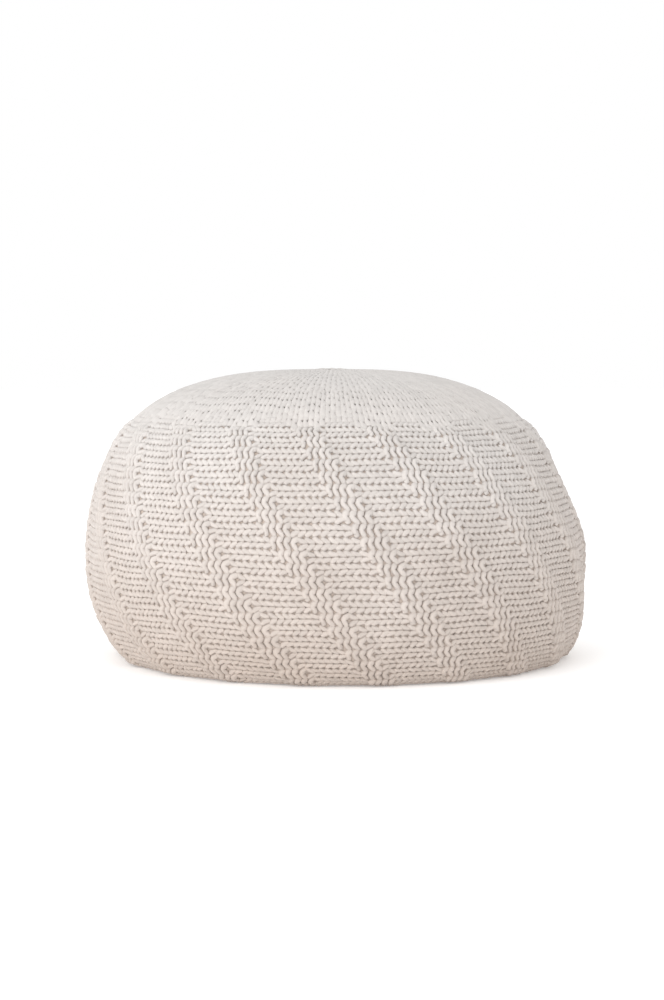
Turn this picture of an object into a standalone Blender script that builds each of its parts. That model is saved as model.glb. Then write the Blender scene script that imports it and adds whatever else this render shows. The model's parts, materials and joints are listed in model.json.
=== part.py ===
"""Round knitted floor pouf: one filled cover, and the drawn-up closing in the middle of its crown.

Metres, +Z up. The origin is on the floor, under the middle of the cover's box, and the front looks along -Y.
"""
import math

import bmesh
import bpy
from mathutils import Matrix, Vector

NAME = "knitted_pouf"

# Driving sizes of the filled cover
DIAMETER = 0.498          # over the knit bands, at the widest height
HEIGHT = 0.287            # floor to crown
WIDEST_HEIGHT = 0.084     # how high the widest ring lies above the floor
FOOT_RADIUS = 0.212       # of the flat ring on which the filling rests

# How full the two arcs of the section are: 2 is an ellipse, more is squarer
SHOULDER_OUT, SHOULDER_UP = 2.99, 2.33
TUCK_OUT, TUCK_UP = 1.83, 1.74

# The filling leans: the foot lies a little right of the middle and the crown left, in a soft bow
FOOT_LEAN = 0.0052
CROWN_LEAN = -0.0120
BOW = -0.0032

# The knitting
REPEATS = 19              # knit bands round the pouf
REPEAT_STITCHES = 12      # 4 knit and 8 purl
ROW_PAIR_TOP = 0.0128     # height of two rows at the border; the pattern moves one stitch right for each pair
ROW_PAIR_FOOT = 0.0105    # the same at the foot, where the rows are pressed together
FIRST_BAND = 8.10         # stitches from the front to the middle of the first knit band, at the border
BORDER_RADIUS = 0.1935    # where the banded sides meet the plain crown
BAND_RISE = 0.0028        # how far the knit bands stand above the purl blocks
BAND_FADE = 0.012         # length over which a band rises below the border and above the foot

# The dip in the crown's middle and the closing that sits in it
DIP_FLOOR_RADIUS = 0.0115
DIP_RADIUS = 0.030
DIP_DEPTH = 0.0030
CLOSING_RADIUS = 0.0095
CLOSING_HEIGHT = 0.0044
CLOSING_SHIFT = 0.0050    # how far right of the crown's middle the yarn is drawn up
CLOSING_PLEATS = 8
PLEAT_DEPTH = 0.0009
GAP = 0.0003              # between two pieces that touch

# Mesh steps
COLUMNS_PER_REPEAT = 6
COLUMN_RISES = (0.0, 0.0, 0.45, 1.0, 1.0, 0.45)   # the band's height at each column of a repeat
CROWN_RINGS = 8
SIDE_RINGS = 20
CLOSING_COLUMNS = 3 * CLOSING_PLEATS
CLOSING_RINGS = 5

# Hollows and swellings of the filling: angle in degrees from the front towards +X, height as a share of
# HEIGHT, spread in radians and in shares of the height, and rise outwards in metres
LUMPS = (
    # angle, height, wide, tall, rise
    (-80.0, 0.86, 0.60, 0.10, 0.0018),
    (-80.0, 0.56, 0.60, 0.14, -0.0020),
    (-80.0, 0.20, 0.60, 0.14, 0.0014),
    (82.0, 0.87, 0.60, 0.07, 0.0025),
    (82.0, 0.62, 0.50, 0.11, -0.0036),
    (82.0, 0.40, 0.50, 0.07, 0.0022),
    (10.0, 0.55, 0.60, 0.20, 0.0014),
    (158.0, 0.35, 0.60, 0.20, 0.0030),
    (-150.0, 0.55, 0.55, 0.22, -0.0028),
)

COVER_COLOUR = (0.74, 0.67, 0.60, 1.0)
CLOSING_COLOUR = (0.76, 0.70, 0.64, 1.0)


def smooth_step(low, high, value):
    """0 below low and 1 above high, with a soft ramp between."""
    t = min(1.0, max(0.0, (value - low) / (high - low)))
    return t * t * (3 - 2 * t)


def fine_section(steps=200):
    """The section without bands as close points (radius, height), from the crown's middle to the foot."""
    widest = DIAMETER / 2 - BAND_RISE
    points = [(0.0, HEIGHT)]
    for i in range(1, steps + 1):
        turn = math.pi / 2 * i / steps
        points.append((widest * math.sin(turn) ** (2 / SHOULDER_OUT),
                       WIDEST_HEIGHT + (HEIGHT - WIDEST_HEIGHT) * abs(math.cos(turn)) ** (2 / SHOULDER_UP)))
    for i in range(1, steps + 1):
        turn = math.pi / 2 * i / steps
        points.append((FOOT_RADIUS + (widest - FOOT_RADIUS) * abs(math.cos(turn)) ** (2 / TUCK_OUT),
                       WIDEST_HEIGHT * (1 - math.sin(turn) ** (2 / TUCK_UP))))
    return points


def with_lengths(points):
    """Each point with the length of the section up to it: (length, radius, height)."""
    rows = [(0.0, *points[0])]
    for (r0, z0), (r1, z1) in zip(points, points[1:]):
        rows.append((rows[-1][0] + math.hypot(r1 - r0, z1 - z0), r1, z1))
    return rows


def at_length(rows, length):
    """Radius and height at a length along the section."""
    for (s0, r0, z0), (s1, r1, z1) in zip(rows, rows[1:]):
        if length <= s1:
            t = (length - s0) / (s1 - s0)
            return r0 + t * (r1 - r0), z0 + t * (z1 - z0)
    return rows[-1][1:]


def row_pairs(length, whole):
    """How many pairs of rows fit into a length down from the border, out of the whole length of the sides."""
    taper = (ROW_PAIR_TOP - ROW_PAIR_FOOT) / whole
    return math.log(ROW_PAIR_TOP / (ROW_PAIR_TOP - taper * max(0.0, length))) / taper


def dipped(radius, height):
    """The height with the dip in the crown's middle taken out."""
    return height - DIP_DEPTH * (1 - smooth_step(DIP_FLOOR_RADIUS, DIP_RADIUS, radius))


def lean(height):
    """How far the middle of the ring at this height lies to the right of the origin."""
    f = height / HEIGHT
    return FOOT_LEAN * (1 - f) + CROWN_LEAN * f + 4 * BOW * f * (1 - f)


def drawn(radius):
    """How far right the rings of the crown lie for the closing that is off its middle."""
    return CLOSING_SHIFT * (1 - smooth_step(DIP_RADIUS, BORDER_RADIUS, radius))


def lump(angle, height):
    """The filling's unevenness at an angle and height."""
    rise = 0.0
    for degrees, share, wide, tall, out in LUMPS:
        turn = math.remainder(angle - math.radians(degrees), math.tau)
        up = height / HEIGHT - share
        rise += out * math.exp(-(turn / wide) ** 2 - (up / tall) ** 2)
    return rise


def turned(name, profile, columns):
    """A closed mesh turned about Z from a profile (radius, height), by a Screw modifier."""
    line = bpy.data.meshes.new(name + "_profile")
    edges = [(i, i + 1) for i in range(len(profile) - 1)]
    line.from_pydata([(r, 0.0, z) for r, z in profile], edges, [])
    guide = bpy.data.objects.new(name + "_profile", line)
    bpy.context.scene.collection.objects.link(guide)
    screw = guide.modifiers.new("Screw", "SCREW")
    screw.axis = "Z"
    screw.angle = math.tau
    screw.steps = screw.render_steps = columns
    screw.use_merge_vertices = True
    screw.merge_threshold = 0.00001
    mesh = bpy.data.meshes.new_from_object(guide.evaluated_get(bpy.context.evaluated_depsgraph_get()))
    mesh.name = name
    bpy.data.objects.remove(guide)
    bpy.data.meshes.remove(line)
    shape = bmesh.new()
    shape.from_mesh(mesh)
    bmesh.ops.remove_doubles(shape, verts=shape.verts, dist=0.00001)
    bmesh.ops.recalc_face_normals(shape, faces=shape.faces)
    shape.to_mesh(mesh)
    shape.free()
    return mesh


def cover_mesh():
    """The filled cover: turned, then its points moved to the spiral bands, the lumps and the lean."""
    rows = with_lengths(fine_section())
    whole = rows[-1][0]
    border = next(s for s, r, _ in rows if r >= BORDER_RADIUS)
    dip_rings = [DIP_FLOOR_RADIUS, 0.5 * (DIP_FLOOR_RADIUS + DIP_RADIUS), DIP_RADIUS]
    crown = [DIP_RADIUS + (border - DIP_RADIUS) * i / CROWN_RINGS for i in range(1, CROWN_RINGS + 1)]
    sides = [border + (whole - border) * i / SIDE_RINGS for i in range(1, SIDE_RINGS + 1)]
    lengths = [0.0, *dip_rings, *crown, *sides]
    profile = [at_length(rows, s) for s in lengths]
    columns = REPEATS * COLUMNS_PER_REPEAT
    mesh = turned("cover", [*profile, (FOOT_RADIUS / 2, 0.0), (0.0, 0.0)], columns)

    stitch_turn = math.tau / (REPEATS * REPEAT_STITCHES)
    band_column = COLUMN_RISES.index(1.0) + 0.5
    for vertex in mesh.vertices:
        x, y, z = vertex.co
        radius = math.hypot(x, y)
        column = round(math.atan2(y, x) / math.tau * columns) % columns
        on_base = z < 1e-6
        ring = min(range(len(profile)), key=lambda i: math.dist(profile[i], (radius, z)))
        s = whole if on_base else lengths[ring]
        band = COLUMN_RISES[column % COLUMNS_PER_REPEAT]
        band *= smooth_step(border, border + BAND_FADE, s) * (1 - smooth_step(whole - BAND_FADE, whole, s))
        angle = math.tau * (column - band_column) / columns
        angle += stitch_turn * (FIRST_BAND + row_pairs(s - border, whole - border))
        share = radius / (DIAMETER / 2)
        rise = 0.0 if on_base else BAND_RISE * band + lump(angle, z) * share * smooth_step(0.0, 0.03, z)
        low = smooth_step(0.6, 1.0, z / HEIGHT)
        out, up = rise * (1 - low), rise * low
        aside = lean(z) + (0.0 if on_base else drawn(radius))
        vertex.co = ((radius + out) * math.sin(angle) + aside, -(radius + out) * math.cos(angle),
                     dipped(radius, z + up) if not on_base else 0.0)
    return mesh


def closing_mesh():
    """The drawn-up closing: a low dome with a pleat for each fold of the gathered stitches."""
    under = HEIGHT - DIP_DEPTH + GAP
    dome = []
    for i in range(CLOSING_RINGS + 1):
        t = i / CLOSING_RINGS * math.pi / 2
        dome.append((CLOSING_RADIUS * math.sin(t), under + 0.0012 + (CLOSING_HEIGHT - 0.0012) * math.cos(t)))
    mesh = turned("closing", [*dome, (CLOSING_RADIUS - 0.0012, under), (0.0, under)], CLOSING_COLUMNS)
    for vertex in mesh.vertices:
        x, y, z = vertex.co
        radius = math.hypot(x, y)
        angle = math.atan2(y, x)
        pleat = PLEAT_DEPTH * radius / CLOSING_RADIUS * (0.5 - 0.5 * math.cos(CLOSING_PLEATS * angle))
        radius -= pleat
        vertex.co = (radius * math.sin(angle) + CROWN_LEAN + CLOSING_SHIFT, -radius * math.cos(angle), z)
    return mesh


def box_middle(mesh):
    """The middle of the mesh's box in X and Y, on the floor."""
    spans = [[vertex.co[axis] for vertex in mesh.vertices] for axis in (0, 1)]
    return Vector([(min(span) + max(span)) / 2 for span in spans] + [0.0])


def yarn_material(name, colour):
    """Matt cotton yarn."""
    material = bpy.data.materials.new(name)
    material.use_nodes = True
    shader = material.node_tree.nodes["Principled BSDF"]
    shader.inputs["Base Color"].default_value = colour
    shader.inputs["Roughness"].default_value = 0.92
    shader.inputs["Metallic"].default_value = 0.0
    material.diffuse_color = colour
    return material


def add_piece(collection, name, mesh, material):
    """A finished piece in the object's collection, its faces outwards and shaded smooth."""
    shape = bmesh.new()
    shape.from_mesh(mesh)
    bmesh.ops.triangulate(shape, faces=shape.faces)
    bmesh.ops.recalc_face_normals(shape, faces=shape.faces)
    shape.to_mesh(mesh)
    shape.free()
    mesh.shade_smooth()
    mesh.set_sharp_from_angle(angle=math.radians(50))
    mesh.materials.clear()
    mesh.materials.append(material)
    piece = bpy.data.objects.new(name, mesh)
    collection.objects.link(piece)
    return piece


def main():
    for item in list(bpy.data.objects):
        bpy.data.objects.remove(item)
    collection = bpy.data.collections.new(NAME)
    bpy.context.scene.collection.children.link(collection)
    cover, closing = cover_mesh(), closing_mesh()
    to_middle = Matrix.Translation(-box_middle(cover))
    cover.transform(to_middle)
    closing.transform(to_middle)
    add_piece(collection, "cover", cover, yarn_material("cream_cotton_knit", COVER_COLOUR))
    add_piece(collection, "closing", closing, yarn_material("drawn_up_yarn", CLOSING_COLOUR))


main()
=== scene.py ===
# %% [markdown]
# # A knitted floor pouf
# The real thing is a bag of thick cream cotton yarn, knitted in one piece, filled until it is taut and drawn up
# in the middle of its crown. Nineteen bands of knit stitches wind down its sides between blocks of purl stitches.
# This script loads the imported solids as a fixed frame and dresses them: first the filled bag, then every stitch
# that shows, worked as on a knitting chart by Geometry Nodes and wrapped round the bag.

# %% Load the frame
import json
import math

import bmesh
import bpy
import numpy as np
from mathutils import Matrix, Vector

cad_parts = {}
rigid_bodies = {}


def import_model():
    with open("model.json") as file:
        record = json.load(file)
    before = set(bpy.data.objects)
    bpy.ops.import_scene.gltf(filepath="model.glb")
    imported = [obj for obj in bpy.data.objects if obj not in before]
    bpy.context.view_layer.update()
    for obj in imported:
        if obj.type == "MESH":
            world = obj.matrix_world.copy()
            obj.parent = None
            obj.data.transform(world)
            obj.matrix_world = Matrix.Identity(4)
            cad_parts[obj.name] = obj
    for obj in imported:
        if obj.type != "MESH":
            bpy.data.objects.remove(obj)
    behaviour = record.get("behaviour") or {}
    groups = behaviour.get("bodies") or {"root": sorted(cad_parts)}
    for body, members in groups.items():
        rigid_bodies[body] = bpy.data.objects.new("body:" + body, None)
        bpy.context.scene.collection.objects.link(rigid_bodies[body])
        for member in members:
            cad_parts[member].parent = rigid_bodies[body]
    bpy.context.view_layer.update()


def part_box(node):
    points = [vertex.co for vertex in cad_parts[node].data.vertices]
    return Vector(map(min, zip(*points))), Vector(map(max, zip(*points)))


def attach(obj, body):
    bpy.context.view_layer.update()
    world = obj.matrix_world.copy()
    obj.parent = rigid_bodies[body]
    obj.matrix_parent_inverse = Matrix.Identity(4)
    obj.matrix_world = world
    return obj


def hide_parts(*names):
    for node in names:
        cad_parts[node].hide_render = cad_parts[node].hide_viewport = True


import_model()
CLOSING_LOW, CLOSING_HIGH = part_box("closing")

# %% [markdown]
# ## Node trees as expressions
# Both the stitches and the yarn's finish need arithmetic on sockets. Wiring Math nodes one by one hides the
# formula, so one small class wraps a socket and lets Python's operators add the nodes.

# %% Sockets that can be reckoned with


class Value:
    """A socket of a node tree. Arithmetic on it adds Math nodes to that tree."""

    def __init__(self, graph, socket):
        self.graph = graph
        self.socket = socket

    def __add__(self, other):
        return self.graph.math("ADD", self, other)

    def __sub__(self, other):
        return self.graph.math("SUBTRACT", self, other)

    def __rsub__(self, other):
        return self.graph.math("SUBTRACT", other, self)

    def __mul__(self, other):
        return self.graph.math("MULTIPLY", self, other)

    def __truediv__(self, other):
        return self.graph.math("DIVIDE", self, other)

    def __rtruediv__(self, other):
        return self.graph.math("DIVIDE", other, self)

    __radd__ = __add__
    __rmul__ = __mul__


class Graph:
    """A node tree with one method for every kind of node."""

    def __init__(self, tree):
        self.tree = tree

    def add(self, kind, settings=None, inputs=None, output=0):
        """Adds a node: its settings first, then the values or links of its sockets, by name or place."""
        node = self.tree.nodes.new(kind)
        for name, value in (settings or {}).items():
            if name == "stops":
                self.fill_ramp(node.color_ramp, value)
            else:
                setattr(node, name, value)
        for name, value in (inputs or {}).items():
            self.feed(self.pick(node.inputs, name), value)
        return Value(self, self.pick(node.outputs, output)) if node.outputs else None

    def pick(self, sockets, name):
        """The enabled socket with this name, or the enabled one at this place."""
        enabled = [socket for socket in sockets if socket.enabled]
        return enabled[name] if isinstance(name, int) else next(s for s in enabled if s.name == name)

    def feed(self, socket, value):
        """Links a wrapped socket, or sets a plain value."""
        if isinstance(value, Value):
            self.tree.links.new(value.socket, socket)
        else:
            socket.default_value = value

    def fill_ramp(self, ramp, stops):
        """Gives a colour ramp its stops: (place, grey or colour)."""
        while len(ramp.elements) < len(stops):
            ramp.elements.new(1.0)
        while len(ramp.elements) > len(stops):
            ramp.elements.remove(ramp.elements[-1])
        for element, (place, colour) in zip(ramp.elements, stops):
            element.position = place
            element.color = colour if isinstance(colour, tuple) else (colour, colour, colour, 1.0)

    def math(self, operation, *values):
        """One Math node, such as SINE, FRACT or LESS_THAN."""
        return self.add("ShaderNodeMath", {"operation": operation}, dict(enumerate(values)))


# %% [markdown]
# ## The section of the bag
# A filled knitted bag isn't a ball. It rests on a wide flat foot, tucks in just above the floor, is widest at
# under a third of its height and then rounds over a full shoulder into a nearly flat crown. Two arcs draw that
# section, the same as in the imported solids: each is a quarter of an ellipse whose powers make it a little
# squarer or rounder, and a shallow bow leans the body. A free curve could do it too, but four powers say more
# about the shape than a list of points. The filling's hollows and swellings are a short table.
# The bag lies a little inside the solids' surface, because the yarn that is laid on it has a thickness.

# %% Sizes of the bag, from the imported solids
DIAMETER = 0.498  # over the knit bands
HEIGHT = 0.287
WIDEST_HEIGHT = 0.084
FOOT_RADIUS = 0.212  # of the flat ring on which the filling rests
SHOULDER_OUT, SHOULDER_UP = 2.99, 2.33  # powers of the upper arc: 2 is an ellipse, more is squarer
TUCK_OUT, TUCK_UP = 1.83, 1.74  # powers of the lower arc
ARC_POINTS, SOLE_POINTS = 400, 200
FOOT_LEAN, CROWN_LEAN, BOW = 0.0052, -0.0120, -0.0032  # to the right at the foot, at the crown and between
BORDER_RADIUS = 0.1935  # where the banded sides meet the plain crown
DIP_FLOOR_RADIUS, DIP_RADIUS, DIP_DEPTH = 0.0115, 0.030, 0.0030  # the hollow round the closing
BAND_RISE, BAND_FADE = 0.0028, 0.012  # how high the bands rise, and over what length they start and end
BAND_EDGE_IN, BAND_EDGE_OUT = 0.9, 1.1  # stitches of slope inside and outside a band's edge
LUMP_FADE = 0.03  # the lumps grow over this height above the floor
INSET = 0.0028  # how far the bag lies inside the solids
CLOSING_SHIFT = 0.0050  # how far the crown's middle is drawn to the right
# The bag's axis, from the place of the closing
MIDDLE_X = (CLOSING_LOW[0] + CLOSING_HIGH[0]) / 2 - CROWN_LEAN - CLOSING_SHIFT
MIDDLE_Y = (CLOSING_LOW[1] + CLOSING_HIGH[1]) / 2

REPEATS, REPEAT_STITCHES, KNIT_STITCHES = 19, 12, 4
STITCHES = REPEATS * REPEAT_STITCHES
ROW_PAIR_TOP, ROW_PAIR_FOOT = 0.0128, 0.0105  # height of two rows at the border and at the foot
PHASE = 6.52  # stitches that turn the chart, so that the bands lie as on the photograph

LUMPS = (
    # angle, height, wide, tall, rise
    (-80.0, 0.86, 0.60, 0.10, 0.0018),
    (-80.0, 0.56, 0.60, 0.14, -0.0020),
    (-80.0, 0.20, 0.60, 0.14, 0.0014),
    (82.0, 0.87, 0.60, 0.07, 0.0025),
    (82.0, 0.62, 0.50, 0.11, -0.0036),
    (82.0, 0.40, 0.50, 0.07, 0.0022),
    (10.0, 0.55, 0.60, 0.20, 0.0014),
    (158.0, 0.35, 0.60, 0.20, 0.0030),
    (-150.0, 0.55, 0.55, 0.22, -0.0028),
)


def smooth_step(low, high, value):
    """0 below low and 1 above high, with a soft ramp between."""
    t = np.clip((value - low) / (high - low), 0.0, 1.0)
    return t * t * (3 - 2 * t)


def bag_section():
    """The section as close points (radius, height): crown's middle, sides, foot, and back under to the middle."""
    turn = np.linspace(0.0, math.pi / 2, ARC_POINTS)
    sine, cosine = np.sin(turn), np.abs(np.cos(turn))
    widest = DIAMETER / 2 - BAND_RISE
    crown = np.stack([widest * sine ** (2 / SHOULDER_OUT),
                      WIDEST_HEIGHT + (HEIGHT - WIDEST_HEIGHT) * cosine ** (2 / SHOULDER_UP)], axis=1)
    tuck = np.stack([FOOT_RADIUS + (widest - FOOT_RADIUS) * cosine ** (2 / TUCK_OUT),
                     WIDEST_HEIGHT * (1 - sine ** (2 / TUCK_UP))], axis=1)
    sole = np.stack([np.linspace(FOOT_RADIUS, 0.0, SOLE_POINTS), np.zeros(SOLE_POINTS)], axis=1)
    return np.concatenate([crown, tuck[1:], sole[1:]])


SECTION = bag_section()
LENGTHS = np.concatenate([[0.0], np.cumsum(np.hypot(*np.diff(SECTION, axis=0).T))])
WHOLE = LENGTHS[-1]
FOOT = WHOLE - FOOT_RADIUS
BORDER = float(np.interp(BORDER_RADIUS, SECTION[:ARC_POINTS, 0], LENGTHS[:ARC_POINTS]))
ROW_TAPER = (ROW_PAIR_TOP - ROW_PAIR_FOOT) / (FOOT - BORDER)
print(f"section {WHOLE:.3f} m long: border at {BORDER:.3f}, foot at {FOOT:.3f}")

# %% [markdown]
# ## The filled bag
# On the real pouf this is the ground that shows in the gaps of the knitting. A spin of the section would make it
# round, but it leans, swells and has its bands raised, so one function gives the point at an angle and a length
# down the section, and a mesh is laid through such points. Its UV map, the chart, holds those same two numbers:
# it is the paper on which every stitch is placed later.

# %% Build the bag
BAG_COLUMNS = STITCHES
BAG_ROW = 0.0080


def lean(height):
    """How far the middle of the ring at this height lies to the right."""
    f = height / HEIGHT
    return FOOT_LEAN * (1 - f) + CROWN_LEAN * f + 4 * BOW * f * (1 - f)


def lump(angle, height):
    """The filling's unevenness."""
    rise = 0.0
    for degrees, share, wide, tall, out in LUMPS:
        turn = np.remainder(angle - math.radians(degrees) + math.pi, math.tau) - math.pi
        rise = rise + out * np.exp(-(turn / wide) ** 2 - ((height / HEIGHT - share) / tall) ** 2)
    return rise


def row_pairs(length):
    """Pairs of rows down from the border. They get lower towards the foot, where the weight presses them."""
    down = np.clip(length - BORDER, 0.0, FOOT - BORDER)
    return np.log(ROW_PAIR_TOP / (ROW_PAIR_TOP - ROW_TAPER * down)) / ROW_TAPER


def band_height(angle, length):
    """From 0 to 1, how far a point is up on a knit band. The bands move a stitch to the right each row pair."""
    stitch = angle / math.tau * STITCHES - row_pairs(length) - PHASE + 0.5
    across = np.remainder(stitch, REPEAT_STITCHES) - KNIT_STITCHES / 2
    across = np.where(across > REPEAT_STITCHES / 2, across - REPEAT_STITCHES, across)
    edge = KNIT_STITCHES / 2
    hill = 1 - smooth_step(edge - BAND_EDGE_IN, edge + BAND_EDGE_OUT, np.abs(across))
    return hill * smooth_step(BORDER, BORDER + BAND_FADE, length) * (1 - smooth_step(FOOT - BAND_FADE, FOOT, length))


def bag_points(angle, length):
    """Points of the bag at an angle from the front and a length down from the crown's middle."""
    radius = np.interp(length, LENGTHS, SECTION[:, 0])
    height = np.interp(length, LENGTHS, SECTION[:, 1])
    step = 0.004
    dr = np.interp(length + step, LENGTHS, SECTION[:, 0]) - np.interp(length - step, LENGTHS, SECTION[:, 0])
    dz = np.interp(length + step, LENGTHS, SECTION[:, 1]) - np.interp(length - step, LENGTHS, SECTION[:, 1])
    out_r, out_z = -dz / np.hypot(dr, dz), dr / np.hypot(dr, dz)
    on_side = smooth_step(0.0, LUMP_FADE, height)
    rise = BAND_RISE * band_height(angle, length) + lump(angle, height) * radius / (DIAMETER / 2) * on_side - INSET
    dip = DIP_DEPTH * (1 - smooth_step(DIP_FLOOR_RADIUS, DIP_RADIUS, radius)) * (height > HEIGHT / 2)
    ring = np.maximum(radius + rise * out_r, 0.0)
    drawn = CLOSING_SHIFT * (1 - smooth_step(DIP_RADIUS, BORDER_RADIUS, radius)) * (height > HEIGHT / 2)
    return np.stack([MIDDLE_X + lean(height) + drawn + ring * np.sin(angle), MIDDLE_Y - ring * np.cos(angle),
                     height + rise * out_z - dip], axis=-1)


def build_bag():
    """The bag as a closed mesh with a chart map: turns across, share of the section's length down."""
    rows = round(WHOLE / BAG_ROW)
    lengths = np.linspace(0.0, WHOLE, rows + 1)[1:-1]
    angles = np.arange(BAG_COLUMNS) / BAG_COLUMNS * math.tau
    points = bag_points(angles[None, :], lengths[:, None]).reshape(-1, 3)
    top = bag_points(np.zeros(1), np.zeros(1))[0]
    under = bag_points(np.zeros(1), np.full(1, WHOLE))[0]
    top[:2] = points[:BAG_COLUMNS, :2].mean(axis=0)
    under[:2] = points[-BAG_COLUMNS:, :2].mean(axis=0)
    last = len(points)
    faces, chart = [], []
    for i in range(BAG_COLUMNS):
        j = (i + 1) % BAG_COLUMNS
        u0, u1 = i / BAG_COLUMNS, (i + 1) / BAG_COLUMNS
        faces.append((last, i, j))
        chart += [(u0, 0.0), (u0, lengths[0] / WHOLE), (u1, lengths[0] / WHOLE)]
        for row in range(len(lengths) - 1):
            a, b = row * BAG_COLUMNS, (row + 1) * BAG_COLUMNS
            faces.append((a + i, b + i, b + j, a + j))
            v0, v1 = lengths[row] / WHOLE, lengths[row + 1] / WHOLE
            chart += [(u0, v0), (u0, v1), (u1, v1), (u1, v0)]
        end = (len(lengths) - 1) * BAG_COLUMNS
        faces.append((end + i, last + 1, end + j))
        chart += [(u0, lengths[-1] / WHOLE), (u0, 1.0), (u1, lengths[-1] / WHOLE)]
    mesh = bpy.data.meshes.new("filled_bag")
    mesh.from_pydata([*map(tuple, points), tuple(top), tuple(under)], [], faces)
    layer = mesh.uv_layers.new(name="chart")
    layer.data.foreach_set("uv", np.array(chart, dtype=np.float32).ravel())
    mesh.shade_smooth()
    normals = np.zeros(len(mesh.vertices) * 3, dtype=np.float32)
    mesh.vertices.foreach_get("normal", normals)
    mesh.attributes.new("outward", "FLOAT_VECTOR", "POINT").data.foreach_set("vector", normals)
    return mesh


bag = bpy.data.objects.new("filled_bag", build_bag())
bpy.context.scene.collection.objects.link(bag)
print("filled bag:", len(bag.data.polygons), "faces")

# %% [markdown]
# ## One stitch at a time
# A knitting chart has one symbol for each kind of stitch. Here a symbol is a short closed strand of yarn, drawn
# flat in its own cell: X runs round the pouf, Y up the fabric and Z outwards. A strand needs only a few dozen
# faces, because it is repeated thousands of times. A curve with a round bevel would give a tube too, but
# pressed yarn is wider than high and tapers, so a ring of six sides is swept along each short route instead.

# %% Strands of yarn
MM = 0.001
ROUTE_STEPS, ROUTE_NUDGE = 20, 0.02
SYMBOLS = bpy.data.collections.new("stitch_symbols")


def strand(name, route, thickness, rings=4, sides=6, flat=1.0, free_ends=False):
    """A closed strand along route(t) with the radius thickness(t), t from 0 to 1, both in millimetres.

    Pressed yarn isn't round: flat is its height as a share of its width. The ends of a stitch go on in the next
    one, so they aren't shaded as rounded off unless they are free.
    """
    ts = [(i + 0.5) / rings for i in range(rings)]
    shape = bmesh.new()
    layer = shape.loops.layers.uv.new("yarn")
    walk = [Vector(route(i / ROUTE_STEPS)) for i in range(ROUTE_STEPS + 1)]
    length = sum((after - before).length for before, after in zip(walk, walk[1:]))
    loops = []
    for t in ts:
        middle = Vector(route(t))
        along = (Vector(route(t + ROUTE_NUDGE)) - Vector(route(t - ROUTE_NUDGE))).normalized()
        side = along.cross(Vector((0, 0, 1))).normalized()
        up = side.cross(along) * flat
        ring = []
        for k in range(sides):
            a = math.tau * k / sides
            ring.append(shape.verts.new((middle + thickness(t) * (math.cos(a) * side + math.sin(a) * up)) * MM))
        loops.append(ring)
    ends = [shape.verts.new(Vector(route(t)) * MM) for t in (0.0, 1.0)]

    def face(corners, places):
        made = shape.faces.new(corners)
        made.smooth = True
        for loop, place in zip(made.loops, places):
            loop[layer].uv = (place[0] * length, place[1])

    for k in range(sides):
        n, a, b = (k + 1) % sides, k / sides, (k + 1) / sides
        face((ends[0], loops[0][n], loops[0][k]), ((0, (a + b) / 2), (ts[0], b), (ts[0], a)))
        for i in range(rings - 1):
            face((loops[i][k], loops[i][n], loops[i + 1][n], loops[i + 1][k]),
                 ((ts[i], a), (ts[i], b), (ts[i + 1], b), (ts[i + 1], a)))
        face((loops[-1][k], loops[-1][n], ends[1]), ((ts[-1], a), (ts[-1], b), (1, (a + b) / 2)))
    bmesh.ops.recalc_face_normals(shape, faces=shape.faces)
    for ring in (loops[0], loops[-1]):
        for k in range(sides):
            shape.edges.get((ring[k], ring[(k + 1) % sides])).smooth = free_ends
    mesh = bpy.data.meshes.new(name)
    shape.to_mesh(mesh)
    shape.free()
    symbol = bpy.data.objects.new(name, mesh)
    SYMBOLS.objects.link(symbol)
    return symbol


# %% [markdown]
# ## What each stitch looks like
# On the photograph two rows make one pair. In a knit band the yarn swings left in the middle of the pair and
# right at its edge, so neighbouring cords touch on the slopes and leave dark spots where they turn. In a purl
# block the pair is two lines of beads: the upper ones slope down to the right and the lower ones up, which
# leaves thin slits inside the pair and round dots between pairs. The newest cord of a band hooks in from the
# block on its right, and the oldest curls back into the block on its left. A plain stitch of the crown is wide and
# flat, and pinched once, which leaves a short slit beside it. Such strands could be modelled by hand; a formula
# for the route and one for the thickness are chosen, because each can be corrected against the photograph.

# %% The symbols
STITCH_WIDE = 6.8  # millimetres, the cell in which the sides' symbols are drawn


def arch(t):
    """0 at both ends of a strand and 1 in its middle."""
    return math.sin(math.pi * min(1.0, max(0.0, t)))


def ease(t):
    """A soft step from 0 to 1."""
    t = min(1.0, max(0.0, t))
    return t * t * (3 - 2 * t)


def swing(t):
    """Where a cord over two rows lies between its left turn, -1, and its right turns, 1."""
    if t < 0.44:
        return math.cos(math.pi * max(0.0, t) / 0.44)
    return -math.cos(math.pi * min(1.0, (t - 0.44) / 0.50))


def knit_route(t):
    """A knit cord over two rows: back to the left in the upper half, then a long swing to the right."""
    return (1.8 * swing(t), 7.0 - 14.2 * t, -1.3 * (1 - ease(t / 0.3)) - 1.3 * ease((t - 0.84) / 0.16))


def edge_route(t):
    """The oldest cord of a band: its end curls back to the left, into the block beside it."""
    x, y, z = knit_route(t)
    return (x + 0.5 - 3.4 * ease((t - 0.74) / 0.26), y + 1.0 * ease((t - 0.7) / 0.3), z + 0.2)


def hook_route(t):
    """The newest cord of a band: it comes down from the edge of the block at its upper right."""
    x, y, z = knit_route(t)
    return (x + 2.4 * (1 - ease(t / 0.42)), y + 0.4 * (1 - ease(t / 0.42)), z + 0.2)


def purl_depth(t):
    """A purl loop starts on top of its neighbours, where two pairs touch, and dives under the next loop."""
    return 0.3 - 0.3 * (1 - t) ** 2 - 1.3 * t ** 3


def upper_purl_route(t):
    """The upper loop of a purl pair: down from the pair above, then along its own pair and under the next."""
    return (-4.4 + 9.7 * t, 1.9 + 5.1 * (1 - t) ** 3.2, purl_depth(t))


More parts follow.
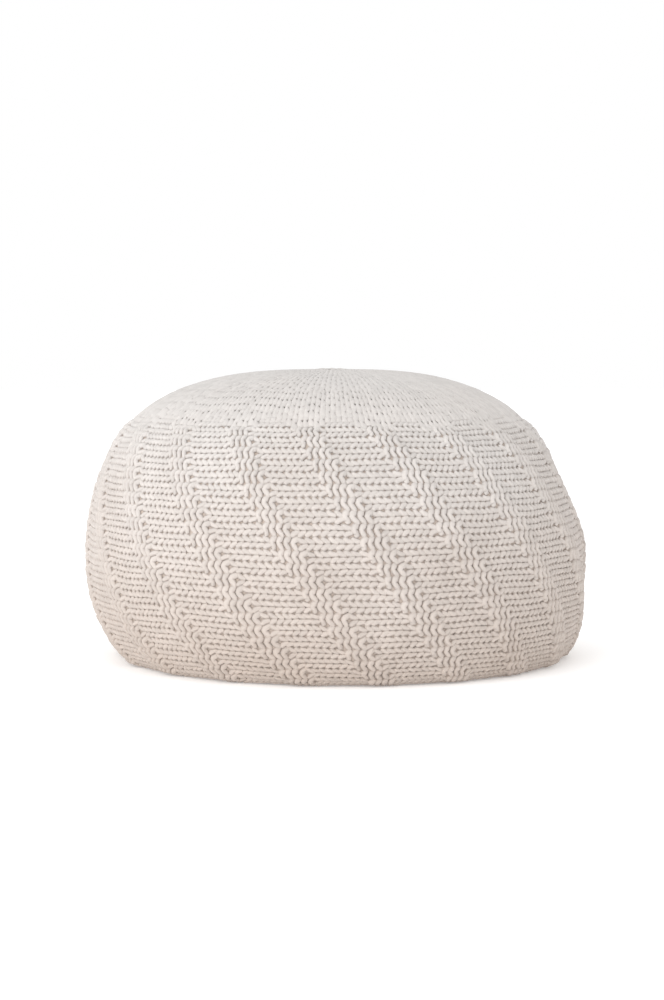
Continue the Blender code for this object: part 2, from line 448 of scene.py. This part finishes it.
def lower_purl_route(t):
    """The lower loop of a purl pair: up from the pair below, then along."""
    return (-4.2 + 9.5 * t, -2.0 - 4.9 * (1 - t) ** 2.8, purl_depth(t))


def pinch(t):
    """1 where a plain stitch turns left and leaves a slit beside it, and 0 elsewhere."""
    return math.exp(-((t - 0.44) / 0.12) ** 2)


def crown_route(t):
    """A plain stitch of the crown: the knit cord's swing, but level, so it is raised where it is pinched."""
    return (1.1 * swing(t), 8.6 - 17.2 * t, 0.95 * pinch(t) - 0.2 * (1 - arch(t)))


def smooth_route(t):
    """A plain stitch that is pulled smooth and is hardly pinched."""
    x, y, z = crown_route(t)
    return (x, y, z - 0.4 * pinch(t))


def short_route(t):
    """A plain stitch that ends on the line of loops above a block."""
    x, y, z = smooth_route(t)
    return (0.4 * x, 3.6 + 0.5 * y, z - 0.5 * t ** 2)


def cord_thickness(t):
    """A knit cord is thickest on its short slope back to the left, where it touches its neighbours."""
    return (2.85 + 0.7 * arch(t / 0.44)) * (0.62 + 0.38 * arch(t) ** 0.3)


def purl_thickness(t):
    """A purl loop tapers to both ends."""
    return 2.0 + 0.9 * arch(t) ** 0.6


def plain_thickness(t):
    """A plain stitch of the crown is so wide that it leaves only a short slit at its left turn."""
    return (5.4 - 3.4 * pinch(t)) * (0.8 + 0.2 * arch(t) ** 0.35)


def smooth_thickness(t):
    """A plain stitch that is pulled smooth, above a purl block and near the middle of the crown."""
    return (5.3 - 2.3 * pinch(t)) * (0.8 + 0.2 * arch(t) ** 0.35)


knit_symbol = strand("knit_symbol", knit_route, cord_thickness, rings=8, flat=0.78)
edge_symbol = strand("edge_symbol", edge_route, cord_thickness, rings=8, flat=0.78)
hook_symbol = strand("hook_symbol", hook_route, cord_thickness, rings=8, flat=0.78)
upper_symbol = strand("upper_purl_symbol", upper_purl_route, purl_thickness, rings=4, flat=0.7)
lower_symbol = strand("lower_purl_symbol", lower_purl_route, purl_thickness, rings=4, flat=0.7)
crown_symbol = strand("crown_symbol", crown_route, plain_thickness, rings=8, flat=0.32)
smooth_symbol = strand("smooth_symbol", smooth_route, smooth_thickness, rings=6, flat=0.28)
short_symbol = strand("short_symbol", short_route, smooth_thickness, rings=4, flat=0.28, free_ends=True)

# %% [markdown]
# ## The knitting chart
# One Geometry Nodes tree works every part of the cover. It lays out one point for each cell of a chart, keeps
# the cells whose place in the repeat is asked for, and sets the symbol on each with a little unevenness, as a
# hand gives it. Then it realizes the strands and wraps the flat fabric round the bag: the place across the
# chart is a share of a turn, the place down it a share of the section's length, and Sample UV Surface looks up
# where that lies on the bag and which way is out. A modifier on the bag itself couldn't do this, because the
# bag's own mesh has to stay a smooth ground under the yarn.

# %% The tree
CHART_INPUTS = (
    # name, kind, what it starts as
    ("Symbol", "NodeSocketObject", None),
    ("Bag", "NodeSocketObject", None),
    ("Columns", "NodeSocketInt", STITCHES),
    ("Rows", "NodeSocketInt", 10),
    ("Repeat", "NodeSocketInt", REPEAT_STITCHES),
    ("From", "NodeSocketInt", 0),
    ("Until", "NodeSocketInt", 1),
    ("Shift", "NodeSocketInt", 1),
    ("Phase", "NodeSocketFloat", 0.0),
    ("Cell Width", "NodeSocketFloat", STITCH_WIDE * MM),
    ("Cell Height", "NodeSocketFloat", ROW_PAIR_TOP),
    ("Row Taper", "NodeSocketFloat", 0.001),
    ("Start", "NodeSocketFloat", 0.0),
    ("Lift", "NodeSocketFloat", 0.0),
    ("Unevenness", "NodeSocketFloat", 0.0),
    ("Sway", "NodeSocketFloat", 0.0012),
    ("Stagger", "NodeSocketFloat", 0.0),
    ("Seed", "NodeSocketInt", 1),
    ("Yarn", "NodeSocketMaterial", None),
)
TURN_SPREAD, WIDE_SPREAD, THICK_SPREAD = 0.16, 0.10, 0.14  # how uneven a hand makes the stitches
SWAY_RING, SWAY_SCALE, SWAY_GAIN = 0.24, 16.0, 4.0  # the noise that bends rows, on a ring as wide as the bag
LOWEST = 0.0002  # no yarn sinks below this height


def chart_tree():
    """Builds the tree that knits one symbol over a chart and wraps it round the bag."""
    tree = bpy.data.node_groups.new("knitting_chart", "GeometryNodeTree")
    tree.interface.new_socket("Geometry", in_out="OUTPUT", socket_type="NodeSocketGeometry")
    tree.interface.new_socket("Geometry", in_out="INPUT", socket_type="NodeSocketGeometry")
    for name, kind, start in CHART_INPUTS:
        socket = tree.interface.new_socket(name, in_out="INPUT", socket_type=kind)
        if start is not None:
            socket.default_value = start
    g = Graph(tree)
    group = tree.nodes.new("NodeGroupInput")
    asked = {name: Value(g, group.outputs[name]) for name, _, _ in CHART_INPUTS}

    # one point for each cell; those whose place in the repeat is asked for are kept
    index = g.add("GeometryNodeInputIndex")
    across = g.math("FLOORED_MODULO", index, asked["Columns"])
    row = g.math("FLOOR", (index + 0.5) / asked["Columns"])
    place = g.math("FLOORED_MODULO", across - asked["Shift"] * row, asked["Repeat"])
    kept = g.math("LESS_THAN", place, asked["Until"] - 0.5) * g.math("GREATER_THAN", place, asked["From"] - 0.5)
    stagger = g.add("FunctionNodeRandomValue", {"data_type": "FLOAT"},
                    {"Min": -0.5, "Max": 0.5, "ID": across, "Seed": asked["Seed"]}) * asked["Stagger"]
    x = (across + 0.5 + asked["Phase"]) * asked["Cell Width"]
    y = (row + 0.5 + stagger) * asked["Cell Height"] * -1.0
    cell = g.add("ShaderNodeCombineXYZ", None, {"X": x, "Y": y})
    points = g.add("GeometryNodePoints", None, {"Count": asked["Columns"] * asked["Rows"], "Position": cell})

    def chance(low, high, offset):
        return g.add("FunctionNodeRandomValue", {"data_type": "FLOAT"},
                     {"Min": low, "Max": high, "ID": index, "Seed": asked["Seed"] + offset})

    def uneven(spread, offset):
        return chance(-spread, spread, offset) * asked["Unevenness"]

    # the symbol on each point, and its own tone
    turn = g.add("ShaderNodeCombineXYZ", None, {"Z": uneven(TURN_SPREAD, 1)})
    size = g.add("ShaderNodeCombineXYZ", None, {
        "X": uneven(WIDE_SPREAD, 2) + 1.0, "Y": 1.0, "Z": uneven(THICK_SPREAD, 3) + 1.0})
    symbol = g.add("GeometryNodeObjectInfo", None, {"Object": asked["Symbol"]}, "Geometry")
    laid = g.add("GeometryNodeInstanceOnPoints", None, {
        "Points": points, "Selection": kept, "Instance": symbol, "Rotation": turn, "Scale": size})
    toned = g.add("GeometryNodeStoreNamedAttribute", {"data_type": "FLOAT", "domain": "INSTANCE"}, {
        "Geometry": laid, "Name": "tone", "Value": chance(0.0, 1.0, 4)})
    fabric = g.add("GeometryNodeRealizeInstances", None, {"Geometry": toned})

    # where each point of the flat fabric lies on the bag, with rows that get lower and sway a little
    flat = g.add("GeometryNodeInputPosition")
    split = tree.nodes.new("ShaderNodeSeparateXYZ")
    g.feed(split.inputs[0], flat)
    fx, fy, fz = (Value(g, split.outputs[i]) for i in range(3))
    turned = fx / (asked["Cell Width"] * asked["Columns"])
    shrunk = g.math("EXPONENT", fy * asked["Row Taper"] / asked["Cell Height"])
    down = asked["Start"] + (1.0 - shrunk) * asked["Cell Height"] / asked["Row Taper"]
    ring = g.add("ShaderNodeCombineXYZ", None, {
        "X": g.math("COSINE", turned * math.tau) * SWAY_RING,
        "Y": g.math("SINE", turned * math.tau) * SWAY_RING, "Z": down})
    swaying = tree.nodes.new("ShaderNodeTexNoise")
    swaying.inputs["Scale"].default_value = SWAY_SCALE
    swaying.inputs["Detail"].default_value = 1.0
    g.feed(swaying.inputs["Vector"], ring)
    parts = tree.nodes.new("ShaderNodeSeparateXYZ")
    tree.links.new(swaying.outputs["Color"], parts.inputs[0])
    sway_x, sway_y = ((Value(g, parts.outputs[i]) - 0.5) * SWAY_GAIN * asked["Sway"] for i in range(2))
    u = g.math("FLOORED_MODULO", turned + sway_x / (math.tau * SWAY_RING), 1.0)
    where = g.add("ShaderNodeCombineXYZ", None, {"X": u, "Y": (down + sway_y) / WHOLE})

    # the bag's point and its outward direction there; X and Y have no lower limit, so theirs is far below
    ground = g.add("GeometryNodeObjectInfo", None, {"Object": asked["Bag"]}, "Geometry")
    chart = g.add("GeometryNodeInputNamedAttribute", {"data_type": "FLOAT_VECTOR"}, {"Name": "chart"})
    outward = g.add("GeometryNodeInputNamedAttribute", {"data_type": "FLOAT_VECTOR"}, {"Name": "outward"})
    on_bag = g.add("GeometryNodeSampleUVSurface", {"data_type": "FLOAT_VECTOR"}, {
        "Mesh": ground, "Value": g.add("GeometryNodeInputPosition"), "UV Map": chart, "Sample UV": where})
    out = g.add("GeometryNodeSampleUVSurface", {"data_type": "FLOAT_VECTOR"}, {
        "Mesh": ground, "Value": outward, "UV Map": chart, "Sample UV": where})
    raised = g.add("ShaderNodeVectorMath", {"operation": "SCALE"}, {0: out, "Scale": fz + asked["Lift"]})
    wrapped = g.add("ShaderNodeVectorMath", {"operation": "ADD"}, {0: on_bag, 1: raised})
    wrapped = g.add("ShaderNodeVectorMath", {"operation": "MAXIMUM"}, {0: wrapped, 1: (-9.0, -9.0, LOWEST)})
    moved = g.add("GeometryNodeSetPosition", None, {"Geometry": fabric, "Position": wrapped})
    finished = g.add("GeometryNodeSetMaterial", None, {"Geometry": moved, "Material": asked["Yarn"]})
    end = tree.nodes.new("NodeGroupOutput")
    tree.links.new(finished.socket, end.inputs[0])
    return tree


KNITTING_CHART = chart_tree()
print("knitting chart:", len(KNITTING_CHART.nodes), "nodes")

# %% Work a chart


def knit(symbol, **asked):
    """Knits one symbol over a chart and returns the wrapped strands as a plain mesh."""
    holder = bpy.data.objects.new("knitting", bpy.data.meshes.new("knitting"))
    bpy.context.scene.collection.objects.link(holder)
    modifier = holder.modifiers.new("Knitting", "NODES")
    modifier.node_group = KNITTING_CHART
    keys = {item.name: item.identifier for item in KNITTING_CHART.interface.items_tree if item.in_out == "INPUT"}
    wanted = {"Symbol": symbol, "Bag": bag, **{name.replace("_", " "): value for name, value in asked.items()}}
    for name, value in wanted.items():
        modifier[keys[name]] = value
    mesh = bpy.data.meshes.new_from_object(holder.evaluated_get(bpy.context.evaluated_depsgraph_get()))
    bpy.data.objects.remove(holder)
    return mesh


def piece_from(name, meshes):
    """One object at the origin from several meshes."""
    joined = meshes[0]
    if len(meshes) > 1:
        shape = bmesh.new()
        for mesh in meshes:
            shape.from_mesh(mesh)
        joined = bpy.data.meshes.new(name)
        for material in meshes[0].materials:
            joined.materials.append(material)
        shape.to_mesh(joined)
        shape.free()
    joined.name = name
    piece = bpy.data.objects.new(name, joined)
    bpy.context.scene.collection.objects.link(piece)
    triangles = sum(len(p.vertices) - 2 for p in joined.polygons)
    print(f"{name}: {triangles} triangles")
    return piece


# %% [markdown]
# ## Cotton yarn
# The yarn is undyed cotton, matt and soft, of several twisted plies with short fibres on them. It looks greyer on
# the crown and warmer near the floor, and its tone drifts a little from stitch to stitch. A colour ramp over the
# height gives the first, stirred by a slow noise so that no line shows, and the strands' own tone the second. The
# ramp also paints shade: it is darker near the floor and again on the top of the crown.
# Light that scatters inside the yarn is left out: the strands overlap under their surface, so it draws
# a dark line where one runs into the next. A ground of its own tone, close under the cords, keeps the gaps from
# looking black instead. The twist and fibres are too fine to model for thousands of stitches, so they are bump
# that follows each strand's map.

# %% The finishes
# the stops are partly painted shade: the yarn is darker near the floor and on the top of the crown
YARN_TONES_AND_PAINTED_SHADE = (
    # height as a share, colour
    (0.00, (0.535, 0.458, 0.405, 1.0)),
    (0.45, (0.597, 0.541, 0.503, 1.0)),
    (0.80, (0.625, 0.590, 0.565, 1.0)),
    (1.00, (0.585, 0.560, 0.540, 1.0)),
)
# one tone as dark as the yarn at the floor, everywhere: painted shade in the gaps between the cords
GROUND_TONES_WITH_PAINTED_SHADE = ((0.0, (0.540, 0.460, 0.405, 1.0)),)
SPREAD = 0.10  # how much the tone varies from stitch to stitch and from place to place
DRIFT_SCALE, DRIFT_STIR = 11.0, 0.4
FIBRE_SCALE, FIBRE_DEPTH = 1100.0, 0.0004
PLIES, TWIST_LENGTH, TWIST_DEPTH = 3.0, 7.0, 0.00012  # a ply comes up once in seven millimetres of yarn


def cotton(name, tones_with_painted_shade, twist_depth):
    """A cotton finish that is warmer near the floor, with painted shade where its ramp is darker, and varies from
    stitch to stitch.
    """
    material = bpy.data.materials.new(name)
    material.use_nodes = True
    material.node_tree.nodes.clear()
    g = Graph(material.node_tree)
    place = g.add("ShaderNodeTexCoord", None, None, "Object")
    height = g.add("ShaderNodeSeparateXYZ", None, {0: place}, "Z") / HEIGHT
    drift = g.add("ShaderNodeTexNoise", None, {"Vector": place, "Scale": DRIFT_SCALE, "Detail": 2.0}, "Fac")
    fibre = g.add("ShaderNodeTexNoise", None, {"Vector": place, "Scale": FIBRE_SCALE, "Detail": 3.0}, "Fac")
    tone = g.add("ShaderNodeAttribute", {"attribute_name": "tone"}, None, "Fac")
    share = height + (drift - 0.5) * DRIFT_STIR
    # the ramp paints shade where its stops are darker
    base = g.add("ShaderNodeValToRGB", {"stops": tones_with_painted_shade}, {"Fac": share}, "Color")
    light = 1.0 + (tone - 0.5) * SPREAD + (drift - 0.5) * SPREAD
    colour = g.add("ShaderNodeVectorMath", {"operation": "SCALE"}, {0: base, "Scale": light})
    on_strand = g.add("ShaderNodeUVMap", {"uv_map": "yarn"})
    along, around = (g.add("ShaderNodeSeparateXYZ", None, {0: on_strand}, axis) for axis in "XY")
    twist = g.math("SINE", (around * PLIES + along / TWIST_LENGTH) * math.tau)
    relief = twist * twist_depth + fibre * FIBRE_DEPTH
    bump = g.add("ShaderNodeBump", None, {"Strength": 0.8, "Distance": 1.0, "Height": relief})
    shader = g.add("ShaderNodeBsdfPrincipled", None, {
        "Base Color": colour, "Roughness": 0.92, "Normal": bump, "Sheen Weight": 0.15, "Sheen Roughness": 0.5,
        "Specular IOR Level": 0.2})
    g.add("ShaderNodeOutputMaterial", None, {"Surface": shader})
    return material


yarn = cotton("cream_cotton_yarn", YARN_TONES_AND_PAINTED_SHADE, TWIST_DEPTH)
# the bag's finish paints shade into the gaps: above the floor it is darker than the cords over it
ground_yarn_with_painted_shade = cotton("inner_cotton_yarn_with_painted_shade", GROUND_TONES_WITH_PAINTED_SHADE, 0.0)
bag.data.materials.append(ground_yarn_with_painted_shade)
print("finishes:", yarn.name, "and", ground_yarn_with_painted_shade.name)

# %% [markdown]
# ## The sides
# The sides are one spiral fabric. Each band is four knit cords wide and each block eight purl stitches, and both
# move on by one stitch in every pair of rows, which is why the bands wind down to the right. Towards the foot the
# weight presses the rows together. A bump map would give the same shading from the front, but the stitches make
# the outline uneven and shade each other, so they are real strands. The same chart is worked five times, once for
# each symbol, and only the places of the repeat where that symbol stands are kept.

# %% Knit the sides
SIDE_ROWS = math.ceil(float(row_pairs(FOOT)))
SURFACE = 0.0006  # how far above the bag the symbols' own zero lies
SIDES = {"Columns": STITCHES, "Rows": SIDE_ROWS, "Start": BORDER, "Phase": PHASE, "Unevenness": 1.0, "Yarn": yarn,
         "Row_Taper": ROW_TAPER, "Lift": SURFACE}
print("pairs of rows down the sides:", SIDE_ROWS)
bands = piece_from("knit_bands", [
    knit(edge_symbol, From=0, Until=1, Seed=10, **SIDES),
    knit(knit_symbol, From=1, Until=KNIT_STITCHES - 1, Seed=11, **SIDES),
    knit(hook_symbol, From=KNIT_STITCHES - 1, Until=KNIT_STITCHES, Seed=12, **SIDES)])
upper = piece_from("purl_upper_loops", [
    knit(upper_symbol, From=KNIT_STITCHES, Until=REPEAT_STITCHES, Seed=21, **SIDES)])
lower = piece_from("purl_lower_loops", [
    knit(lower_symbol, From=KNIT_STITCHES, Until=REPEAT_STITCHES, Seed=31, **SIDES)])

# %% [markdown]
# ## The crown
# Above the border every stitch is plain, and the columns run together towards the middle, where fewer and fewer
# are left. Above each purl block lies one more line of loops, and over it the stitches are pulled smooth. The
# stitches of neighbouring columns lie a little higher or lower, so the slits don't stand in rings. Columns that
# end one by one would need a chart of decreases that the photograph doesn't show; the crown is worked in rings
# instead, each with its own number of stitches.

# %% Knit the crown
CROWN_PAIR = 0.0128
RING_OVERLAP = 0.2  # share of a pair by which each ring overlaps the one outside it
CROWN_TIERS = (
    # columns, pairs of rows, above the two pairs that follow the blocks
    (STITCHES, 3),
    (152, 4),
    (114, 3),
    (76, 2),
    (38, 2),
)


def tier(symbol, columns, rows, start, seed, **asked):
    """One ring of plain stitches. Its chart is as wide as the others', so each stitch fills its share of a turn."""
    wanted = {"Columns": columns, "Rows": rows, "Repeat": REPEAT_STITCHES, "From": 0, "Until": REPEAT_STITCHES,
              "Shift": 0, "Phase": PHASE, "Start": start, "Unevenness": 0.45, "Seed": seed, "Yarn": yarn,
              "Cell_Height": CROWN_PAIR, "Lift": SURFACE, **asked}
    return knit(symbol, **wanted)


def knit_crown():
    """All rings from the border to the middle, with a line of loops and flat stitches above each block."""
    first = BORDER - CROWN_PAIR
    left, right = KNIT_STITCHES + 1, REPEAT_STITCHES - 2
    start = first - CROWN_PAIR
    meshes = [tier(crown_symbol, STITCHES, 2, start, 101, Until=left, Stagger=0.5),
              tier(smooth_symbol, STITCHES, 1, start, 102, From=left, Until=right, Stagger=0.4),
              tier(short_symbol, STITCHES, 1, first, 105, From=left, Until=right),
              tier(lower_symbol, STITCHES, 1, first, 104, From=left, Until=right),
              tier(crown_symbol, STITCHES, 2, start, 103, From=right, Stagger=0.5)]
    for i, (columns, rows) in enumerate(CROWN_TIERS):
        start -= (rows - RING_OVERLAP) * CROWN_PAIR
        meshes.append(tier(smooth_symbol if i else crown_symbol, columns, rows, start, 110 + i, Stagger=0.6))
    return piece_from("crown_stitches", meshes)


crown = knit_crown()

# %% [markdown]
# ## The sole
# The pouf stands on its foot, so the knitting goes on underneath, pressed flat. Nothing of it shows on the
# photograph. It could be left out, but a pouf may be seen lying on its side, so it is made of the same plain
# rings as the crown.

# %% Knit the sole
SOLE_PAIR = 0.0120
SOLE_TIERS = (
    # columns, pairs of rows
    (152, 5),
    (114, 5),
    (76, 4),
    (38, 3),
)


def knit_sole():
    """Plain rings from the foot to the middle of the underside."""
    start, meshes = FOOT, []
    for i, (columns, rows) in enumerate(SOLE_TIERS):
        meshes.append(tier(crown_symbol, columns, rows, start, 140 + i, Stagger=0.35, Cell_Height=SOLE_PAIR))
        start += rows * SOLE_PAIR
    return piece_from("sole_stitches", meshes)


sole = knit_sole()

# %% [markdown]
# ## The closing
# In the middle of the crown the last stitches are drawn up on their own yarn into a small rosette, hardly higher
# than the crown. Each fold of the rosette is one short strand from its rim over its shoulder to the middle, and a
# low button of yarn closes the hole. The strands are swept like the stitches and set round by a turn; there are
# too few of them to need a chart, so a short loop places them.

# %% Draw up the closing
FOLDS = 12
CLOSING_MIDDLE = Vector([(CLOSING_LOW[i] + CLOSING_HIGH[i]) / 2 for i in (0, 1)] + [CLOSING_LOW[2]])
CLOSING_TALL = (CLOSING_HIGH[2] - CLOSING_LOW[2]) / MM


def fold_route(t):
    """One fold of the rosette: up from its rim, over its shoulder and down into the middle."""
    rise = CLOSING_TALL * (0.36 * math.sin(math.pi * ease(t * 0.9)) - 0.08)
    return (16.0 - 15.4 * t, 0.6 * math.sin(math.pi * t), rise)


def button_route(t):
    """The short thick end of yarn in the middle."""
    return (3.4 - 6.8 * t, 0.0, CLOSING_TALL * 0.20)


def fold_thickness(t):
    """A fold is fullest at the rim and runs out towards the middle."""
    return 0.9 + 3.0 * (1 - t) ** 0.9


def button_thickness(t):
    """The button is a little thinner at its ends."""
    return 1.0 + 1.4 * arch(t) ** 0.5


def draw_up():
    """The rosette as one mesh, in its place on the crown."""
    fold = strand("fold_symbol", fold_route, fold_thickness, rings=8, sides=8, flat=0.6, free_ends=True)
    button = strand("button_symbol", button_route, button_thickness, rings=6, sides=8, free_ends=True)
    shape = bmesh.new()
    layer = shape.verts.layers.float.new("tone")
    # fixed waves give each fold a size, a turn and a tone of its own; the button comes last
    for k in range(FOLDS + 1):
        source = button if k == FOLDS else fold
        size = 1.0 + 0.08 * math.sin(2.4 * k)
        before = len(shape.verts)
        shape.from_mesh(source.data)
        shape.verts.ensure_lookup_table()
        added = shape.verts[before:]
        turn = Matrix.Rotation(math.tau * (k + 0.14 * math.sin(5.1 * k)) / FOLDS, 4, "Z") @ Matrix.Scale(size, 4)
        bmesh.ops.transform(shape, matrix=Matrix.Translation(CLOSING_MIDDLE) @ turn, verts=added)
        for vertex in added:
            vertex[layer] = 0.5 + 0.4 * math.sin(3.7 * k)
    mesh = bpy.data.meshes.new("closing_folds")
    shape.to_mesh(mesh)
    shape.free()
    mesh.materials.append(yarn)
    return piece_from("closing_folds", [mesh])


closing_folds = draw_up()

# %% [markdown]
# ## What each piece stands for
# The pouf has one body, so every piece rides on the root. The bag takes the place of the cover's solid and the
# rosette that of the closing's, while the stitches lie on the bag without a solid of their own.

# %% Put each piece on the root
for symbol in list(SYMBOLS.objects):
    bpy.data.objects.remove(symbol)
bpy.data.collections.remove(SYMBOLS)
KNITTED = (bag, bands, upper, lower, crown, sole)
for piece in KNITTED:
    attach(piece, "root")
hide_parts("cover")
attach(closing_folds, "root")
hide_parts("closing")
print("pieces on the root:", [piece.name for piece in (*KNITTED, closing_folds)])

# %% [markdown]
# ## Floor, light and camera
# The photograph was taken on a white sweep with hardly a shadow, and the light falls off from left to right. A
# sweep could be modelled; a wide pale floor with a little glow of its own and a white world look the same from
# every side and keep the soft dark line under the foot. One large soft box in front on the left gives the fall of
# light. The camera looks down by four degrees, from so far that a millimetre of the pouf is a pixel.

# %% Floor and world
FLOOR_HALF = 12.0
floor_mesh = bpy.data.meshes.new("pale_floor")
floor_mesh.from_pydata([(-FLOOR_HALF, -FLOOR_HALF, 0.0), (FLOOR_HALF, -FLOOR_HALF, 0.0),
                        (FLOOR_HALF, FLOOR_HALF, 0.0), (-FLOOR_HALF, FLOOR_HALF, 0.0)], [], [(0, 1, 2, 3)])
floor = bpy.data.objects.new("pale_floor", floor_mesh)
bpy.context.scene.collection.objects.link(floor)
floor_paint = bpy.data.materials.new("pale_floor_paint")
floor_paint.use_nodes = True
for name, value in {"Base Color": (0.96, 0.96, 0.96, 1.0), "Roughness": 0.9,
                    "Emission Color": (1.0, 1.0, 1.0, 1.0), "Emission Strength": 0.2}.items():
    floor_paint.node_tree.nodes["Principled BSDF"].inputs[name].default_value = value
floor_mesh.materials.append(floor_paint)

world = bpy.data.worlds.new("soft_studio")
world.use_nodes = True
world.node_tree.nodes["Background"].inputs["Color"].default_value = (1.0, 1.0, 1.0, 1.0)
world.node_tree.nodes["Background"].inputs["Strength"].default_value = 1.0
bpy.context.scene.world = world
bpy.context.scene.view_settings.view_transform = "Standard"
print("floor:", 2 * FLOOR_HALF, "m wide; world:", world.name)

# %% Key light
KEY_PLACE, KEY_AIM = Vector((-1.9, -2.4, 1.3)), Vector((0.0, 0.0, 0.15))
KEY_SIZE, KEY_POWER = 3.0, 51.0
lamp = bpy.data.lights.new("key_light", "AREA")
lamp.size = KEY_SIZE
lamp.energy = KEY_POWER
light = bpy.data.objects.new("key_light", lamp)
light.location = KEY_PLACE
light.rotation_euler = (KEY_AIM - KEY_PLACE).to_track_quat("-Z", "Y").to_euler()
bpy.context.scene.collection.objects.link(light)
print("key light:", KEY_SIZE, "m wide,", KEY_POWER, "W")

# %% Camera
FRAME_PIXELS = (664, 1000)
PIXELS_PER_METRE = 1000.0
SENSOR_HEIGHT = 36.0
CAMERA_DISTANCE = 2.3
CAMERA_ELEVATION = 4.0
AIM_HEIGHT = 0.140
AIM_PIXEL = (336.6, 515.4)  # where the pouf's axis at that height falls on the photograph
camera_data = bpy.data.cameras.new("photo_camera")
camera_data.sensor_fit = "VERTICAL"
camera_data.sensor_height = SENSOR_HEIGHT
camera_data.lens = SENSOR_HEIGHT * CAMERA_DISTANCE * PIXELS_PER_METRE / FRAME_PIXELS[1]
camera = bpy.data.objects.new("photo_camera", camera_data)
elevation = math.radians(CAMERA_ELEVATION)
right = (FRAME_PIXELS[0] / 2 - AIM_PIXEL[0]) / PIXELS_PER_METRE
up = (AIM_PIXEL[1] - FRAME_PIXELS[1] / 2) / PIXELS_PER_METRE
camera.location = (right, -CAMERA_DISTANCE * math.cos(elevation) + up * math.sin(elevation),
                   AIM_HEIGHT + CAMERA_DISTANCE * math.sin(elevation) + up * math.cos(elevation))
camera.rotation_euler = (math.pi / 2 - elevation, 0.0, 0.0)
bpy.context.scene.collection.objects.link(camera)
bpy.context.scene.camera = camera
print(f"camera: {camera_data.lens:.1f} mm lens, {CAMERA_DISTANCE} m away")
